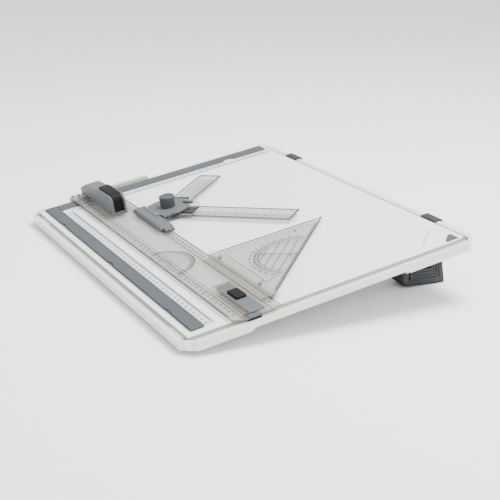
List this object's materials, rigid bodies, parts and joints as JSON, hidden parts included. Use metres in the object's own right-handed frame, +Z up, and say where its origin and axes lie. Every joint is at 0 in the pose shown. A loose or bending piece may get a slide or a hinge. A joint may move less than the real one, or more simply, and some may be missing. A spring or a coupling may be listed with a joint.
{
  "type": "portable drawing board",
  "caption": "Tilted drawing board with hinged paper clamps, a sliding clear ruler, a turning two-arm drafting head, a sliding set square and fold-down rear feet.",
  "frame": {"origin": "centre of the footprint, on the table, with the rear feet folded down", "axes": "+X to the right along the ruler, +Y to the back of the board, +Z up; the board slopes up to the back"},
  "size_m": [0.516, 0.3714, 0.0773],
  "materials": {
    "white_plastic": "smooth warm white moulded plastic with a soft sheen",
    "rubber": "matt black rubber",
    "steel": "plain steel",
    "clamp_grey": "fine-grained blue-grey plastic",
    "head_grey": "fine-grained mid-grey plastic",
    "dark_grey": "dark grey moulded plastic",
    "black_plastic": "matt black plastic",
    "clear_plastic": "clear acrylic with a slight warm tint",
    "frosted_plastic": "frosted clear plastic"
  },
  "bodies": {
    "board": {"board_shell": "white_plastic", "rubber_feet": "rubber", "front_steel_strip": "steel", "left_steel_strip": "steel", "front_clamp_pins": "steel", "left_clamp_pins": "steel", "corner_pad": "clamp_grey", "right_foot_bracket": "dark_grey", "left_foot_bracket": "dark_grey", "right_foot_pin": "steel", "left_foot_pin": "steel", "bracket_screws": "steel"},
    "front_clamp": {"front_clamp_bar": "clamp_grey", "front_clamp_magnet": "rubber", "front_scale_lip": "clear_plastic"},
    "left_clamp": {"left_clamp_bar": "clamp_grey", "left_clamp_magnet": "rubber", "left_scale_lip": "clear_plastic"},
    "foot_right": {"right_foot": "dark_grey", "right_foot_pad": "rubber"},
    "foot_left": {"left_foot": "dark_grey", "left_foot_pad": "rubber"},
    "ruler": {"ruler_blade": "clear_plastic", "guide_rail": "frosted_plastic", "rail_screws": "steel", "left_head_housing": "head_grey", "left_head_post": "head_grey", "left_head_screws": "steel", "left_button_spring": "steel", "right_channel": "clear_plastic", "right_bar": "head_grey", "right_end_block": "head_grey", "groove_runner": "black_plastic", "right_head_screws": "steel", "right_button_spring": "steel"},
    "button_left": {"left_button": "black_plastic", "left_brake_shoe": "rubber"},
    "button_right": {"right_button": "black_plastic", "right_brake_shoe": "rubber"},
    "head_carriage": {"carriage": "head_grey", "carriage_liner": "rubber", "head_plate": "head_grey", "plate_pad": "black_plastic", "plate_screws": "steel", "index_window": "clear_plastic", "latch_pin": "steel"},
    "latch": {"index_latch": "head_grey"},
    "head_rotor": {"arm_carrier": "dark_grey", "long_arm": "clear_plastic", "short_arm": "clear_plastic", "arm_screws": "steel"},
    "knob": {"clamp_knob": "head_grey", "clamp_spindle": "steel", "spindle_washer": "steel"},
    "square": {"set_square": "clear_plastic", "square_clip": "clear_plastic", "square_screws": "steel"}
  },
  "joints": [
    {"name": "ruler_slide", "type": "slide", "parent": "board", "child": "ruler", "axis": [0, 0.9863, 0.165], "range_m": [-0.01, 0.228]},
    {"name": "front_clamp_lift", "type": "hinge", "parent": "board", "child": "front_clamp", "pos_m": [0.005, -0.16619, 0.01835], "axis": [1, 0, 0], "range_deg": [0, 75]},
    {"name": "left_clamp_lift", "type": "hinge", "parent": "board", "child": "left_clamp", "pos_m": [-0.2431, -0.00336, 0.0456], "axis": [0, -0.9863, -0.165], "range_deg": [0, 1.5]},
    {"name": "right_foot_fold", "type": "hinge", "parent": "board", "child": "foot_right", "pos_m": [0.166, 0.14684, 0.06024], "axis": [0, 0.9863, 0.165], "range_deg": [0, 90]},
    {"name": "left_foot_fold", "type": "hinge", "parent": "board", "child": "foot_left", "pos_m": [-0.156, 0.14684, 0.06024], "axis": [0, -0.9863, -0.165], "range_deg": [0, 90]},
    {"name": "left_button_press", "type": "slide", "parent": "ruler", "child": "button_left", "axis": [0, 0.165, -0.9863], "range_m": [0, 0.002], "stiffness_N_per_m": 300, "springref_m": -0.001, "deforming": ["left_button_spring"]},
    {"name": "right_button_press", "type": "slide", "parent": "ruler", "child": "button_right", "axis": [0, 0.165, -0.9863], "range_m": [0, 0.001], "stiffness_N_per_m": 300, "springref_m": -0.001, "deforming": ["right_button_spring"]},
    {"name": "carriage_slide", "type": "slide", "parent": "ruler", "child": "head_carriage", "axis": [1, 0, 0], "range_m": [-0.07, 0.04]},
    {"name": "square_slide", "type": "slide", "parent": "ruler", "child": "square", "axis": [1, 0, 0], "range_m": [-0.03, 0.025]},
    {"name": "head_turn", "type": "hinge", "parent": "head_carriage", "child": "head_rotor", "pos_m": [-0.094, -0.04734, 0.04488], "axis": [0, -0.165, 0.9863], "range_deg": [-35, 50]},
    {"name": "knob_turn", "type": "hinge", "parent": "head_carriage", "child": "knob", "pos_m": [-0.094, -0.04907, 0.05524], "axis": [0, -0.165, 0.9863], "range_deg": [0, 180]},
    {"name": "latch_swing", "type": "hinge", "parent": "head_carriage", "child": "latch", "pos_m": [-0.09, -0.02499, 0.05369], "axis": [0, -0.165, 0.9863], "range_deg": [0, 20]}
  ]
}
